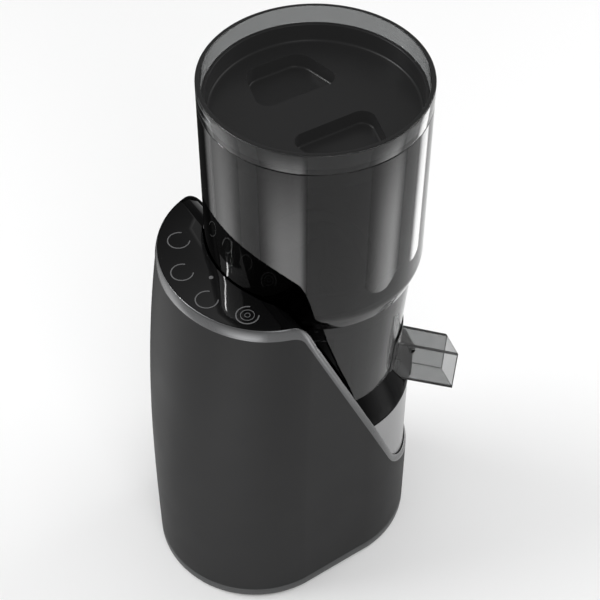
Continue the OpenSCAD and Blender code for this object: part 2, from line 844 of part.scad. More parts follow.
// Power board on the back of the cradle
capacitor_r = 9;
capacitor_l = 22;
relay_size = [22, 14, 16];
module power_board() {
  color("darkgreen")
    translate([0, -cradle_back - standoff_l, power_z])
      union() {
        translate([-power_w / 2, -board_t, 0]) cube([power_w, board_t, power_h]);
        translate([-power_w / 4, -board_t, power_h / 2]) rotate([90, 0, 0])
          cylinder(r = capacitor_r, h = capacitor_l / 2);
        translate([power_w / 8, -board_t - relay_size[1], power_h / 2]) cube(relay_size);
        translate([power_w / 8, -board_t - relay_size[1], power_h / 6]) cube(relay_size);
      }
}

// Cord gland low on the side wall away from the chute
gland_y = -30;
gland_z = 34;
gland_r = 7;
gland_bore = 3.6;
gland_proud = 1.2;
gland_x = -front_r + (rear_half_w - front_r) * gland_y / rear_centre - gland_proud;
module cord_gland() {
  color(gloss_black)
    translate([gland_x, gland_y, gland_z])
      rotate([0, 90, 0])
        difference() {
          cylinder(r = gland_r, h = gland_r * 2);
          translate([0, 0, -cut_over]) cylinder(r = gland_bore, h = gland_r * 2 + 2 * cut_over);
        }
}

// Frame of the chute: u runs along the chute from the drive axis, z is up
module chute_frame() {
  rotate([0, 0, -chute_yaw])
    translate([chute_side, 0, 0])
      rotate([90, 0, 90])
        children();
}
root_u = sqrt(pow(bowl_foot_r, 2) - pow(chute_side + chute_w / 2, 2));
chute_top_drop = 8;
chute_top_z = bowl_z - chute_top_drop;
function chute_line(u) = chute_top_z + (chute_reach - u) * tan(chute_slope);
mouth_lean_share = 0.05;
duct_start = 2;
duct_end = sqrt(pow(bowl_foot_r, 2) - pow(chute_side, 2));
duct_end_z = chute_line(duct_end) - chute_h;
duct_far = duct_end + seat_r / 2;
floor_t = 3;
mouth_w = chute_w - 2 * chute_wall;
module duct_prism(extra, inset, lift) {
  chute_frame()
    translate([0, 0, -chute_w / 2 - extra + inset])
      linear_extrude(height = chute_w + 2 * extra - 2 * inset)
        polygon([
          [duct_start - extra + inset, bowl_z + floor_t + lift],
          [duct_far, bowl_z + floor_t + lift],
          [duct_far, chute_line(duct_far) - chute_h - extra + inset],
          [duct_end, duct_end_z - extra + inset],
          [duct_start - extra + inset, bowl_z - extra + inset]
        ]);
}

// Bowl: a tapered cup with a duct under its floor that leads the pulp to the chute
hub_r = 10;
bowl_hole_r = 13;
ledge_drop = 18;
ledge_z = neck_z - ledge_drop;
ledge_h = 2.5;
ledge_in = 2;
groove_drop = 10;
groove_z = neck_z - groove_drop;
groove_h = 4;
groove_in = 1.2;
lug_count = 3;
lug_angle = 16;
lug_play = 2;
lug_t = 2.6;
unlock_angle = 30;
bowl_inner_rim = bowl_rim_r - bowl_wall;
function bowl_outer(z) = bowl_foot_r + (bowl_rim_r - bowl_foot_r) * (z - bowl_z) / bowl_h;
function bowl_inner(z) = bowl_outer(z) - bowl_wall;
port_r = 42;
juice_yaw = -chute_yaw;
juice_wall = 1.8;
juice_drop = 8;
juice_z = bowl_z + floor_t + juice_r - juice_wall + duct_end * tan(juice_drop);
module juice_frame() {
  rotate([0, 0, -juice_yaw])
    translate([-chute_side, 0, juice_z])
      rotate([-90 - juice_drop, 0, 0])
        children();
}
module lug_wedges(z, h, r, half) {
  for (k = [0 : lug_count - 1])
    rotate([0, 0, k * 360 / lug_count])
      translate([0, 0, z])
        linear_extrude(height = h)
          polygon([[0, 0], [r * cos(half), -r * sin(half)], [r / cos(half), 0], [r * cos(half), r * sin(half)]]);
}
module juicing_bowl() {
  color(smoke)
    difference() {
      union() {
        difference() {
          translate([0, 0, bowl_z]) cylinder(r1 = bowl_foot_r, r2 = bowl_rim_r, h = bowl_h);
          translate([0, 0, bowl_z + floor_t])
            cylinder(r1 = bowl_inner(bowl_z + floor_t), r2 = bowl_inner_rim, h = bowl_h - floor_t);
          translate([0, 0, neck_z - cut_over]) cylinder(r = bowl_inner_rim, h = 2 * cut_over);
        }
        difference() {
          translate([0, 0, ledge_z]) cylinder(r = bowl_inner(ledge_z) + bowl_wall / 2, h = ledge_h);
          translate([0, 0, ledge_z - cut_over])
            cylinder(r = bowl_inner(ledge_z) - ledge_in, h = ledge_h + 2 * cut_over);
        }
        intersection() {
          duct_prism(0, 0, -floor_t / 2);
          cylinder(r = bowl_foot_r - tidy_gap, h = rim_z);
        }
        intersection() {
          duct_prism(0, 0, sleeve_h);
          cylinder(r = port_r + chute_wall / 2, h = rim_z);
        }
      }
      translate([0, 0, bowl_z - cut_over]) cylinder(r = bowl_hole_r, h = floor_t + 2 * cut_over);
      intersection() {
        duct_prism(0, chute_wall, 0);
        translate([0, 0, bowl_z - seat_rise * 2]) cylinder(r = seat_r * 2, h = seat_rise * 2 + tidy_gap);
      }
      intersection() {
        duct_prism(0, chute_wall, sleeve_h + cut_over);
        cylinder(r = port_r - chute_wall / 2, h = rim_z);
      }
      juice_frame() cylinder(r = juice_r - juice_wall, h = juice_reach);
      translate([0, 0, groove_z]) cylinder(r = bowl_inner(groove_z) + groove_in, h = groove_h);
      intersection() {
        rotate([0, 0, unlock_angle]) lug_wedges(groove_z, neck_z, bowl_rim_r, lug_angle);
        translate([0, 0, groove_z]) cylinder(r = bowl_inner(groove_z) + groove_in, h = neck_z);
      }
    }
}

// Pulp chute: a rectangular tube on the bowl's wall, open at its mouth
root_flare = 4;
flange_t = 1.6;
function chute_side_outline(inset) = [
  [root_u - chute_w, chute_line(root_u - chute_w) - inset / cos(chute_slope)],
  [chute_reach + inset * 2, chute_line(chute_reach + inset * 2) - inset / cos(chute_slope)],
  [chute_reach + inset * 2 - chute_h * mouth_lean_share,
    chute_line(chute_reach + inset * 2) - chute_h + inset / cos(chute_slope)],
  [root_u - chute_w, chute_line(root_u - chute_w) - chute_h + inset / cos(chute_slope)]
];
module pulp_chute() {
  color(smoke)
    difference() {
      union() {
        chute_frame()
          translate([0, 0, -chute_w / 2]) linear_extrude(height = chute_w) polygon(chute_side_outline(0));
        intersection() {
          translate([0, 0, bowl_z])
            cylinder(r1 = bowl_foot_r + flange_t, r2 = bowl_rim_r + flange_t, h = bowl_h);
          chute_frame()
            translate([0, 0, -chute_w / 2 - root_flare])
              linear_extrude(height = chute_w + 2 * root_flare)
                polygon([
                  [0, bowl_z],
                  [seat_r, bowl_z],
                  [seat_r, chute_line(root_u) + root_flare],
                  [0, chute_line(root_u) + root_flare]
                ]);
        }
      }
      chute_frame()
        translate([0, 0, -chute_w / 2 + chute_wall])
          linear_extrude(height = mouth_w) polygon(chute_side_outline(chute_wall));
      chute_frame()
        translate([gate_u, gate_z, -chute_w]) cylinder(r = gate_pin_r + tidy_gap / 4, h = 2 * chute_w);
      translate([0, 0, bowl_z])
        cylinder(r1 = bowl_foot_r + tidy_gap / 4, r2 = bowl_rim_r + tidy_gap / 4, h = bowl_h);
      translate([0, 0, bowl_z - seat_rise])
        cylinder(r = bowl_foot_r + tidy_gap / 4, h = seat_rise + tidy_gap / 4);
    }
}

// Juice spout on the far side of the front
module juice_spout() {
  color(smoke)
    difference() {
      juice_frame() cylinder(r = juice_r, h = juice_reach);
      juice_frame() translate([0, 0, -cut_over])
        cylinder(r = juice_r - juice_wall, h = juice_reach + 2 * cut_over);
      translate([0, 0, bowl_z - cut_over])
        cylinder(r1 = bowl_outer(bowl_z - cut_over) + tidy_gap / 4, r2 = bowl_rim_r + tidy_gap / 4, h = bowl_h + cut_over);
      translate([-rear_half_w, -rear_reach, 0]) cube([2 * rear_half_w, rear_reach, rim_z]);
    }
}
module bowl_seal() {
  color(silicone_grey)
    translate([0, 0, bowl_z])
      difference() {
        cylinder(r = bowl_hole_r - tidy_gap / 4, h = floor_t);
        translate([0, 0, -cut_over]) cylinder(r = hub_r + run_gap, h = floor_t + 2 * cut_over);
      }
}

// Wiper gears above the bowl's floor
wiper_gear_lift = 2.5;
wiper_gear_z = bowl_z + floor_t + wiper_gear_lift;
wiper_gear_h = 7;
ring_teeth = sun_teeth + 2 * idler_teeth;
idler_x = -wiper_m * (sun_teeth + idler_teeth) / 2;
idler_pin_r = 3;
ring_pitch_r = wiper_m * ring_teeth / 2;
ring_back = 5.5;
ring_r = ring_pitch_r + ring_back;
ring_cut_share = 1.12;
module idler_axle() {
  color(steel)
    translate([idler_x, 0, bowl_z + floor_t])
      cylinder(r = idler_pin_r, h = wiper_gear_z + wiper_gear_h - bowl_z - floor_t);
}
module idler_gear() {
  color("ivory")
    translate([idler_x, 0, wiper_gear_z])
      difference() {
        gear(wiper_m, idler_teeth, wiper_gear_h, -180 / idler_teeth);
        translate([0, 0, -cut_over])
          cylinder(r = idler_pin_r + bearing_gap, h = wiper_gear_h + 2 * cut_over);
      }
}

// Wiper: a turning cage round the strainer, with a toothed ring at its foot
cage_r = 55;
cage_t = 2.5;
cage_drop = 2;
cage_top = ledge_z - cage_drop;
arm_count = 3;
arm_w = 30;
blade_t = 2;
blade_foot_share = 0.1;
blade_in_r = cage_r - cage_t - tidy_gap / 2;
module wiper_frame() {
  color("ivory")
    difference() {
      union() {
        translate([0, 0, wiper_gear_z]) cylinder(r = ring_r, h = wiper_gear_h);
        translate([0, 0, wiper_gear_z + wiper_gear_h - cage_t]) cylinder(r = cage_r, h = cage_t);
        intersection() {
          translate([0, 0, wiper_gear_z + wiper_gear_h - cage_t])
            difference() {
              cylinder(r = cage_r, h = cage_top - wiper_gear_z - wiper_gear_h + cage_t);
              translate([0, 0, -cut_over]) cylinder(r = cage_r - cage_t, h = rim_z);
            }
          union() {
            for (k = [0 : arm_count - 1])
              rotate([0, 0, k * 360 / arm_count])
                translate([0, -arm_w / 2, wiper_gear_z]) cube([cage_r * 2, arm_w, rim_z]);
            translate([0, 0, cage_top - cage_t * 2]) cylinder(r = cage_r * 2, h = rim_z);
          }
        }
      }
      translate([0, 0, wiper_gear_z - cut_over])
        rotate([0, 0, 180 / ring_teeth])
          linear_extrude(height = wiper_gear_h + 2 * cut_over)
            polygon(gear_points(wiper_m, ring_teeth, ring_cut_share, root_share, tip_share));
      translate([0, 0, wiper_gear_z + wiper_gear_h - cage_t - cut_over])
        cylinder(r = strainer_foot_r + 3 * run_gap, h = cage_t + 2 * cut_over);
    }
}
module wiper_blades() {
  color(silicone_grey)
    for (k = [0 : arm_count - 1])
      rotate([0, 0, k * 360 / arm_count])
        translate([0, -blade_t / 2, 0])
          rotate([90, 0, 0])
            translate([0, 0, -blade_t])
              linear_extrude(height = blade_t) {
                polygon([
                  [cage_r + tidy_gap / 4, wiper_gear_z + wiper_gear_h],
                  [bowl_inner(wiper_gear_z + wiper_gear_h) - run_gap * 2, wiper_gear_z + wiper_gear_h],
                  [bowl_inner(cage_top) - ledge_in - run_gap * 2, cage_top],
                  [cage_r + tidy_gap / 4, cage_top]
                ]);
                polygon([
                  [strainer_foot_r + 2 * run_gap + (strainer_top_r - strainer_foot_r) * blade_foot_share,
                    wiper_gear_z + wiper_gear_h + cut_over],
                  [blade_in_r, wiper_gear_z + wiper_gear_h + cut_over],
                  [blade_in_r, cage_top],
                  [strainer_top_r + 2 * run_gap, cage_top]
                ]);
              }
}

// Strainer: a tapered basket with rows of slots and a flange that hangs on the bowl's ledge
strainer_lift = 2;
strainer_z = wiper_gear_z + wiper_gear_h + strainer_lift;
strainer_floor = 3;
sleeve_h = strainer_z - bowl_z - floor_t - run_gap;
flange_h = 3;
strainer_top = ledge_z + ledge_h + flange_h;
slot_rows = 3;
slot_margin = 8;
slot_bridge = 4;
slot_l = (ledge_z - strainer_z - strainer_floor - 2 * slot_margin - (slot_rows - 1) * slot_bridge) / slot_rows;
module strainer() {
  color([0.2, 0.2, 0.21])
    difference() {
      union() {
        translate([0, 0, strainer_z])
          cylinder(r1 = strainer_foot_r, r2 = strainer_top_r, h = strainer_top - strainer_z);
        translate([0, 0, strainer_top - flange_h])
          cylinder(r = bowl_inner(strainer_top - flange_h) - run_gap, h = flange_h);
      }
      translate([0, 0, strainer_z + strainer_floor])
        cylinder(r1 = strainer_foot_r - strainer_wall, r2 = strainer_top_r - strainer_wall,
          h = strainer_top - strainer_z - strainer_floor + tidy_gap / 10);
      translate([0, 0, strainer_z - cut_over])
        cylinder(r = hub_r + run_gap * 2, h = strainer_floor + 2 * cut_over);
      intersection() {
        duct_prism(0, chute_wall, strainer_top - bowl_z);
        translate([0, 0, strainer_z - cut_over])
          cylinder(r = port_r - chute_wall / 2, h = strainer_floor + 2 * cut_over);
      }
      for (j = [0 : slot_rows - 1])
        translate([0, 0, strainer_z + strainer_floor + slot_margin + j * (slot_l + slot_bridge)])
          for (k = [0 : strainer_slots / 2 - 1])
            rotate([0, 0, (k + 0.5) * 360 / strainer_slots])
              translate([-cage_r, -slot_w / 2, 0]) cube([2 * cage_r, slot_w, slot_l]);
    }
}

// Auger: a tapered core with helical flights, its geared hub below and a feed cutter above
auger_lift = 1;
auger_drop = 2;
auger_z = strainer_z + strainer_floor + auger_lift;
auger_top = strainer_top - auger_drop;
flight_steps = 44;
flight_starts = 2;
core_points = 8;
flight_root_share = 1.6;
socket_gap = 0.3;
socket_room = 2;
socket_top = hex_top + socket_room;
auger_h = auger_top - auger_z;
hub_roof = 3;
hub_top = socket_top + hub_roof;
function auger_core(z) = auger_foot_r + (auger_top_r - auger_foot_r) * sqrt(max(0, (z - auger_z) / auger_h));
function flight_rim(z) = strainer_foot_r - strainer_wall - 3 * run_gap
  + (strainer_top_r - strainer_foot_r) * (z - strainer_z) / (strainer_top - strainer_z);

// One ring of a screw: starts wings from core radius to rim radius, with half angles at rim and root
function wing_ring(z, turn, starts, core, rim, rim_half, root_half) = [
  for (k = [0 : starts - 1]) let (a0 = turn + k * 360 / starts)
    for (p = concat(
      [[core, -root_half], [rim, -rim_half], [rim, rim_half], [core, root_half]],
      [for (j = [1 : core_points]) [core, root_half + (360 / starts - 2 * root_half) * j / (core_points + 1)]]
    )) [p[0] * cos(a0 + p[1]), p[0] * sin(a0 + p[1]), z]
];

// A solid from stacked rings of equal length, closed by its first and last ring
module capped_solid(rings) {
  rows = len(rings);
  n = len(rings[0]);
  polyhedron(
    points = [for (r = rings) for (p = r) p],
    faces = concat(
      [[for (j = [0 : n - 1]) j]],
      [for (r = [0 : rows - 2]) for (i = [0 : n - 1]) for (f = [
        [r * n + i, (r + 1) * n + i, r * n + (i + 1) % n],
        [r * n + (i + 1) % n, (r + 1) * n + i, (r + 1) * n + (i + 1) % n]
      ]) f],
      [[for (j = [n - 1 : -1 : 0]) (rows - 1) * n + j]]
    ),
    convexity = 8
  );
}
flight_half = 180 * flight_t * flight_turns / auger_h;
bore_fit_r = hub_r / cos(180 / (flight_starts * (core_points + 2))) + tidy_gap;
module auger_screw() {
  color([0.16, 0.16, 0.17])
    capped_solid(concat(
      [for (z = [hub_top + tidy_gap, auger_z])
        wing_ring(z, 0, flight_starts, bore_fit_r, bore_fit_r, flight_half, flight_half * flight_root_share)],
      [for (i = [0 : flight_steps]) let (s = i / flight_steps, z = auger_z + auger_h * s)
        wing_ring(z, 360 * flight_turns * s, flight_starts, auger_core(z), flight_rim(z),
          flight_half, flight_half * flight_root_share)]
    ));
}
module auger_hub() {
  color(steel)
    difference() {
      union() {
        translate([0, 0, bowl_z + tidy_gap]) cylinder(r = hub_r, h = hub_top - bowl_z - tidy_gap);
        translate([0, 0, wiper_gear_z]) gear(wiper_m, sun_teeth, wiper_gear_h, 180);
      }
      translate([0, 0, bowl_z - cut_over])
        cylinder(r = shaft_r + socket_gap, h = socket_top - bowl_z + cut_over, $fn = 6);
    }
}

// Feed funnel in the drum's foot and the cutter that turns in it
funnel_t = 3;
funnel_h = 26;
funnel_step = 1;
funnel_in_r = strainer_top_r - funnel_step;
spigot_h = 9.4;
spigot_t = 3;
spigot_r = bowl_inner(neck_z - spigot_h) - run_gap;
neck_step = 1.7;
neck_r = bowl_rim_r + neck_step;
lug_in = 0.9;
drum_in = drum_r - drum_wall;
module hopper_drum() {
  color(smoke)
    difference() {
      union() {
        translate([0, 0, drum_z]) cylinder(r = drum_r, h = drum_h);
        translate([0, 0, neck_z]) cylinder(r1 = neck_r, r2 = drum_r, h = neck_h);
        translate([0, 0, neck_z - spigot_h]) cylinder(r = spigot_r, h = spigot_h);
        intersection() {
          lug_wedges(groove_z + (groove_h - lug_t) / 2, lug_t, bowl_rim_r, lug_angle - lug_play);
          cylinder(r = spigot_r + lug_in, h = rim_z);
        }
      }
      translate([0, 0, drum_z]) cylinder(r = drum_in, h = drum_h + cut_over);
      translate([0, 0, neck_z + funnel_t])
        cylinder(r1 = spigot_r - spigot_t, r2 = drum_in, h = neck_h - funnel_t);
      translate([0, 0, neck_z - spigot_h - cut_over])
        cylinder(r = spigot_r - spigot_t, h = spigot_h + funnel_t + 2 * cut_over);
    }
}
funnel_sink = 2;
funnel_z = neck_z + funnel_t - funnel_sink;
funnel_rim_r = drum_in - tidy_gap;
module feed_funnel() {
  color([0.1, 0.1, 0.1])
    rotate_extrude()
      polygon([
        [funnel_in_r, strainer_top + 2 * run_gap], [funnel_in_r + funnel_t, strainer_top + 2 * run_gap],
        [funnel_in_r + funnel_t, funnel_z], [funnel_rim_r, drum_z + funnel_h - funnel_t],
        [funnel_rim_r, drum_z + funnel_h], [funnel_in_r, funnel_z + funnel_t]
      ]);
}
seal_h = 3;
module hopper_seal() {
  color(silicone_grey)
    translate([0, 0, neck_z - spigot_h - seal_h])
      difference() {
        cylinder(r = spigot_r, h = seal_h);
        translate([0, 0, -cut_over]) cylinder(r = spigot_r - spigot_t, h = seal_h + 2 * cut_over);
      }
}
cutter_h = 34;
cutter_r = 42;
cutter_t = 4;
cutter_root_t = 7;
cutter_steps = 16;
cutter_turn = 110;
cutter_taper_share = 0.76;
cutter_core_share = 0.5;
function cutter_rim(s) = cutter_r * (1 - cutter_taper_share * s * s);
function cutter_core(s) = auger_top_r * (1 - cutter_core_share * s);
module feed_cutter() {
  color([0.16, 0.16, 0.17])
    capped_solid([
      for (i = [0 : cutter_steps]) let (s = i / cutter_steps)
        wing_ring(auger_top + cutter_h * s, cutter_turn * s, flight_starts, cutter_core(s), cutter_rim(s),
          asin(cutter_t / 2 / cutter_rim(s)), asin(cutter_root_t / 2 / cutter_core(s)))
    ]);
}

// Pulp gate: a flap that hangs on a pin at the chute's root and closes the duct's mouth
gate_out = 9;
gate_u = duct_end + gate_out;
gate_pin_r = 1.5;
gate_lift = 12;
gate_z = bowl_z + gate_lift;
gate_h = 30;
gate_t = 2;
gate_w = mouth_w - 2 * run_gap;
gate_knuckle_r = 2.8;
module gate_pin() {
  color(steel)
    chute_frame()
      translate([gate_u, gate_z, -chute_w / 2 + tidy_gap])
        cylinder(r = gate_pin_r, h = chute_w - 2 * tidy_gap);
}
module pulp_gate() {
  color(gloss_black)
    chute_frame()
      translate([gate_u, gate_z, -gate_w / 2])
        difference() {
          union() {
            cylinder(r = gate_knuckle_r, h = gate_w);
            translate([-gate_t / 2, -gate_h, 0]) cube([gate_t, gate_h, gate_w]);
          }
          translate([0, 0, -cut_over]) cylinder(r = gate_pin_r + bearing_gap, h = gate_w + 2 * cut_over);
        }
}

// Lid: a smoked collar over the seam with a deep tray inside the drum and two finger wells
lid_floor_z = seam_z - lid_floor_drop;
lid_t = 2.5;
plug_r = drum_in - run_gap;
tray_r = plug_r - lid_t;
well_corner_r = 12;
well_half_l = 33;
well_tip_r = 17;
well_reach = 61;
well_tip_share = 0.55;
module well_shape(inset) {
  hull() {
    for (y = [-1, 1]) {
      translate([grip_w / 2 + well_corner_r, y * (well_half_l - well_corner_r)])
        circle(r = well_corner_r - inset, $fn = 32);
      translate([well_reach - well_tip_r, y * (well_half_l - well_corner_r) * well_tip_share])
        circle(r = well_tip_r - inset, $fn = 32);
    }
  }
}
seal_lift = 3;
seal_z = lid_floor_z + seal_lift;
lid_seal_h = 3;
lid_seal_t = 1;
module lid() {
  color(smoke)
    difference() {
      union() {
        translate([0, 0, seam_z]) cylinder(r = drum_r, h = collar_h);
        translate([0, 0, lid_floor_z - lid_t]) cylinder(r = plug_r, h = seam_z - lid_floor_z + lid_t);
        for (s = [0, 180])
          rotate([0, 0, s])
            translate([0, 0, lid_floor_z - lid_t - well_depth])
              linear_extrude(height = well_depth + lid_t) well_shape(0);
      }
      translate([0, 0, lid_floor_z]) cylinder(r = tray_r, h = rim_z);
      translate([0, 0, seam_z + lid_t]) cylinder(r = drum_in, h = rim_z);
      for (s = [0, 180])
        rotate([0, 0, s])
          translate([0, 0, lid_floor_z - well_depth])
            linear_extrude(height = well_depth + lid_t) well_shape(lid_t);
      translate([0, 0, seal_z])
        difference() {
          cylinder(r = drum_r, h = lid_seal_h);
          translate([0, 0, -cut_over]) cylinder(r = plug_r - lid_seal_t, h = lid_seal_h + 2 * cut_over);
        }
    }
}
module lid_seal() {
  color(silicone_grey)
    translate([0, 0, seal_z])
      difference() {
        cylinder(r = plug_r, h = lid_seal_h);
        translate([0, 0, -cut_over]) cylinder(r = plug_r - lid_seal_t, h = lid_seal_h + 2 * cut_over);
      }
}

placed() outer_shell();
placed() shell_bezel();
placed() base_ring();
placed() bottom_cover();
placed() rubber_feet();
placed() cover_screws();
placed() control_panel();
placed() touch_rings();
placed() status_lamp();
placed() touch_board();
placed() touch_pads();
placed() power_board();
placed() bowl_cradle();
placed() bowl_seat();
placed() front_skirt();
placed() gearbox_housing();
placed() gearbox_cover();
placed() motor_can();
placed() motor_magnets();
placed() motor_bearings();
placed() stage_axle();
placed() shaft_bearings();
placed() shaft_seal();
placed() cord_gland();
placed() motor_rotor();
placed() motor_pinion();
placed() cooling_fan();
placed() stage_gear();
placed() drive_shaft();
placed() output_gear();
placed() juicing_bowl();
placed() pulp_chute();
placed() juice_spout();
placed() bowl_seal();
placed() idler_axle();
placed() gate_pin();
placed() strainer();
placed() wiper_frame();
placed() wiper_blades();
placed() idler_gear();
placed() auger_screw();
placed() auger_hub();
placed() feed_cutter();
placed() pulp_gate();
placed() hopper_drum();
placed() feed_funnel();
placed() hopper_seal();
placed() lid();
placed() lid_seal();
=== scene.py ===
import math
import bmesh
import bpy
from mathutils import Matrix, Vector, geometry


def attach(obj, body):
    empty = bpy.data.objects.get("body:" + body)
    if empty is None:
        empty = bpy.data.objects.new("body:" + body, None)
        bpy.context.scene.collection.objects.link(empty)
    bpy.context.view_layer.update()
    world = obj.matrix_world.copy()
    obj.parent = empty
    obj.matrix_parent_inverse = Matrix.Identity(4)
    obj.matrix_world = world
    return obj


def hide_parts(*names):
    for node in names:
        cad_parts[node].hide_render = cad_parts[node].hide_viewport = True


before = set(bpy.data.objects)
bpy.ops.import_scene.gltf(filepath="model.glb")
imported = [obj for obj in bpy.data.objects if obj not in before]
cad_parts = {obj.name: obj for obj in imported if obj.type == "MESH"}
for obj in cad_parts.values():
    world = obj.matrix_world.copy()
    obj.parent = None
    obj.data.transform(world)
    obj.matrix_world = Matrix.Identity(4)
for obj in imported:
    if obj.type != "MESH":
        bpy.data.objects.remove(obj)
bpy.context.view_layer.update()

# ---- Camera, worktop and studio light ----
# A level white worktop, an even white surround and three large soft lamps. One narrow strip high
# up and five low cards round the hopper are there for the gloss alone.
bpy.ops.object.camera_add(location=(0.664, -0.392494, 1.090))
camera = bpy.context.active_object
camera.name = "camera"
camera.rotation_euler = Vector((-0.5816, 0.3495, -0.7346)).to_track_quat("-Z", "Y").to_euler()
camera.data.lens = 90.0
camera.data.sensor_width = 36.0
camera.data.clip_start = 0.05
bpy.context.scene.camera = camera
bpy.context.scene.view_settings.view_transform = "Standard"

bpy.ops.mesh.primitive_plane_add(size=8.0, location=(0.0, 0.0, 0.0))
worktop = bpy.context.active_object
worktop.name = "worktop"
worktop_mat = bpy.data.materials.new("worktop_white")
worktop_mat.use_nodes = True
worktop_face = worktop_mat.node_tree.nodes["Principled BSDF"]
worktop_face.inputs["Base Color"].default_value = (0.93, 0.93, 0.93, 1.0)
worktop_face.inputs["Roughness"].default_value = 0.8
worktop_face.inputs["Specular IOR Level"].default_value = 0.2
worktop.data.materials.append(worktop_mat)

white = (1.0, 1.0, 1.0, 1.0)
world = bpy.data.worlds.new("studio")
bpy.context.scene.world = world
world.use_nodes = True
sky = world.node_tree
sky.nodes.clear()
sky_out = sky.nodes.new("ShaderNodeOutputWorld")
sky_mix = sky.nodes.new("ShaderNodeMixShader")
sky_path = sky.nodes.new("ShaderNodeLightPath")
sky_seen = sky.nodes.new("ShaderNodeMath")
sky_seen.operation = "MAXIMUM"
sky_soft = sky.nodes.new("ShaderNodeBackground")
sky_soft.inputs["Color"].default_value = white
sky_soft.inputs["Strength"].default_value = 0.55
sky_white = sky.nodes.new("ShaderNodeBackground")
sky_white.inputs["Color"].default_value = white
sky_white.inputs["Strength"].default_value = 1.0
sky.links.new(sky_path.outputs["Is Camera Ray"], sky_seen.inputs[0])
sky.links.new(sky_path.outputs["Is Transmission Ray"], sky_seen.inputs[1])
sky.links.new(sky_seen.outputs[0], sky_mix.inputs[0])
sky.links.new(sky_soft.outputs[0], sky_mix.inputs[1])
sky.links.new(sky_white.outputs[0], sky_mix.inputs[2])
sky.links.new(sky_mix.outputs[0], sky_out.inputs["Surface"])

middle = (0.0, 0.0, 0.22)
for name, place, aim, size, power, gloss_only in (
    ("key_lamp", (-0.9, -1.3, 1.7), middle, (1.2, 1.2), 22.0, False),
    ("fill_lamp", (1.5, -0.4, 1.2), middle, (0.8, 1.2), 8.0, False),
    ("back_lamp", (0.3, 1.6, 1.3), middle, (1.4, 0.9), 14.0, False),
    ("high_strip", (-0.734, -0.780, 1.415), (0.012, -0.042, 0.345), (0.045, 0.5), 14.0, True),
):
    bpy.ops.object.light_add(type="AREA", location=place)
    lamp = bpy.context.active_object
    lamp.name = name
    lamp.data.shape = "RECTANGLE"
    lamp.data.size, lamp.data.size_y = size
    lamp.data.energy = power
    lamp.rotation_euler = (Vector(aim) - Vector(place)).to_track_quat("-Z", "Y").to_euler()
    lamp.visible_camera = False
    if gloss_only:
        back = (Vector(place) - Vector(aim)).normalized()
        along = Vector((0.163, 0.717, 0.607))
        along = (along - back * along.dot(back)).normalized()
        lamp.rotation_euler = Matrix((along.cross(back), along, back)).transposed().to_euler()
        lamp.visible_diffuse = False
        lamp.visible_transmission = False


class Wire:
    """A value, colour or vector that runs between the nodes of one material."""

    def __init__(self, tree, socket=None):
        self.tree = tree
        self.socket = socket

    def node(self, kind, settings, sockets, out=0):
        made = self.tree.nodes.new(kind)
        for key, value in settings.items():
            setattr(made, key, value)
        for key, value in sockets.items():
            if isinstance(value, Wire):
                self.tree.links.new(value.socket, made.inputs[key])
            else:
                made.inputs[key].default_value = value
        return Wire(self.tree, made.outputs[out])

    def sum_of(self, how, a, b):
        return self.node("ShaderNodeMath", {"operation": how}, {0: a, 1: b})

    def __add__(self, other):
        return self.sum_of("ADD", self, other)

    def __mul__(self, other):
        return self.sum_of("MULTIPLY", self, other)

    def __rmul__(self, other):
        return self.sum_of("MULTIPLY", other, self)

    def __radd__(self, other):
        return self.sum_of("ADD", other, self)

    def __rsub__(self, other):
        return self.sum_of("SUBTRACT", other, self)


axis_y = 0.018506
plain_glow = 0.9
for name, turn, reach, width, height, glow, right, left in (
    ("front_card", 300.0, 0.36, 0.30, 0.30, 4.6, 0.2, 0.55),
    ("rear_card", 243.0, 0.26, 0.17, 0.50, 2.0, 0.4, 0.5),
    ("dark_card", 192.0, 0.23, 0.26, 0.90, 0.03, 0.2, 0.1),
    ("side_card", 38.0, 0.36, 0.26, 0.32, 3.9, 0.35, 0.65),
    ("edge_card", 87.0, 0.36, 0.15, 0.40, 4.6, 0.3, 0.4),
):
    turn = math.radians(turn)
    bpy.ops.mesh.primitive_plane_add(size=1.0)
    card = bpy.context.active_object
    card.name = name
    card.scale = (width, height, 1.0)
    card_x, card_y = reach * math.cos(turn), axis_y + reach * math.sin(turn)
    card.location = (card_x, card_y, height / 2 + 0.001)
    faces_in = Vector((-math.cos(turn), -math.sin(turn), 0.0))
    card.rotation_euler = faces_in.to_track_quat("Z", "Y").to_euler()
    card.visible_camera = False
    card.visible_diffuse = False
    card.visible_transmission = False
    card.visible_shadow = False
    card_mat = bpy.data.materials.new(name)
    card_mat.use_nodes = True
    card_face = card_mat.node_tree.nodes["Principled BSDF"]
    wire = Wire(card_mat.node_tree)
    spot = wire.node("ShaderNodeTexCoord", {}, {}, "UV")
    across = wire.node("ShaderNodeSeparateXYZ", {}, {"Vector": spot}, "X")
    ramp = {"interpolation_type": "SMOOTHSTEP"}
    rise = wire.node("ShaderNodeMapRange", ramp, {"Value": across, "From Max": right})
    fall = wire.node("ShaderNodeMapRange", ramp, {"Value": 1.0 - across, "From Max": left})
    up = wire.node("ShaderNodeSeparateXYZ", {}, {"Vector": spot}, "Y")
    top = {"Value": up, "From Min": 0.35, "From Max": 0.95, "To Min": 1.0, "To Max": 0.0}
    low = wire.node("ShaderNodeMapRange", ramp, top)
    ends = {"Factor": rise * fall * low, "A": (plain_glow / glow,) * 3 + (1.0,), "B": white}
    fade = wire.node("ShaderNodeMix", {"data_type": "RGBA", "clamp_result": False}, ends, "Result")
    wire.tree.links.new(fade.socket, card_face.inputs["Emission Color"])
    card_face.inputs["Emission Strength"].default_value = glow
    card_face.inputs["Base Color"].default_value = (0.0, 0.0, 0.0, 1.0)
    card_face.inputs["Specular IOR Level"].default_value = 0.0
    card.data.materials.append(card_mat)

